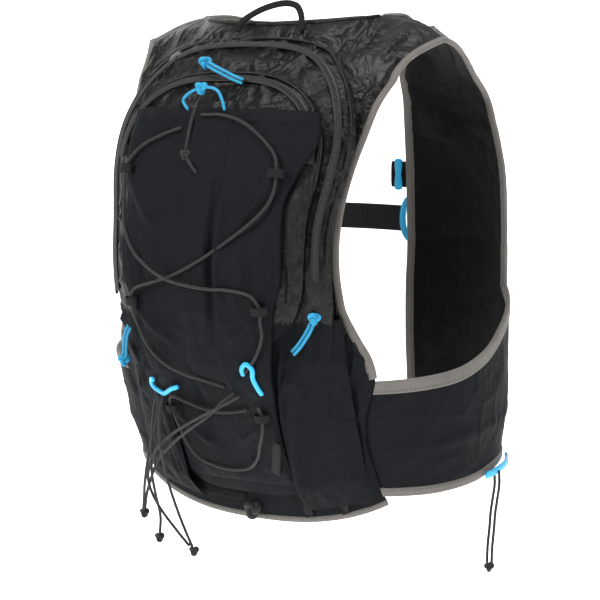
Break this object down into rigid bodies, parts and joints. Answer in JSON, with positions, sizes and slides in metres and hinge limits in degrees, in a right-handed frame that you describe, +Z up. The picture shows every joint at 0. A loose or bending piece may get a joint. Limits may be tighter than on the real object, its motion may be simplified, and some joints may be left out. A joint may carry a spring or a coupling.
{
  "type": "running hydration vest",
  "caption": "Black running hydration vest in its worn form, with zipped back pouches, a stretch pocket, bungee lacing and blue pulls.",
  "frame": {"origin": "middle between the shoulders, at the height where the vest rests on them", "axes": "+X the wearer's left, +Y out of the back where the pouches are, +Z up from the hem to the shoulders"},
  "size_m": [0.3616, 0.2903, 0.491],
  "materials": {
    "nylon": "thin woven nylon, slightly shiny",
    "stretch": "matte stretch knit, blue-black",
    "mesh": "open black mesh",
    "tape": "warm grey binding tape",
    "cord": "braided dark grey elastic",
    "webbing": "woven black webbing",
    "blue": "cyan-blue moulded and braided fittings"
  },
  "bodies": {
    "root": {"back_panel": "nylon", "front_panel_left": "mesh", "front_panel_right": "mesh", "side_wing_left": "stretch", "side_wing_right": "stretch", "armhole_binding_left": "tape", "armhole_binding_right": "tape", "centre_binding_left": "tape", "centre_binding_right": "tape", "front_hem_binding_left": "tape", "front_hem_binding_right": "tape", "wing_top_binding_left": "tape", "wing_top_binding_right": "tape", "wing_hem_binding_left": "tape", "wing_hem_binding_right": "tape", "back_hem_binding": "tape", "neck_binding": "tape", "main_pouch": "nylon", "second_pouch": "nylon", "main_zip": "nylon", "second_zip": "nylon", "stretch_pocket": "stretch", "side_pocket_left": "stretch", "side_pocket_right": "stretch", "front_pocket_left": "stretch", "front_pocket_right": "stretch", "strap_rail_left": "webbing", "strap_rail_right": "webbing", "sternum_strap": "webbing", "sternum_hook_right": "blue", "sternum_hook_left": "blue", "sternum_buckle": "blue", "haul_loop": "webbing", "lacing_loop_1_left": "webbing", "lacing_loop_1_right": "webbing", "lacing_loop_2_left": "webbing", "lacing_loop_2_right": "webbing", "lacing_loop_3_left": "webbing", "lacing_loop_3_right": "webbing", "lacing_cord_right": "cord", "lacing_cord_left": "cord", "lacing_cord_lower": "cord", "pole_hook_left": "blue", "pole_hook_right": "blue", "tail_cord_1": "cord", "tail_cord_1_knot": "cord", "tail_cord_2": "cord", "tail_cord_2_knot": "cord", "tail_cord_3": "cord", "tail_cord_3_knot": "cord", "zip_pull_top": "blue", "top_cord_loop": "blue", "side_pull_left": "blue", "side_pull_right": "blue", "front_hook_cord": "blue", "front_hook_cord_knot": "blue", "front_hook_right": "blue", "hem_webbing": "webbing", "pack_webbing": "webbing", "hem_cord_lock": "cord"}
  },
  "joints": []
}
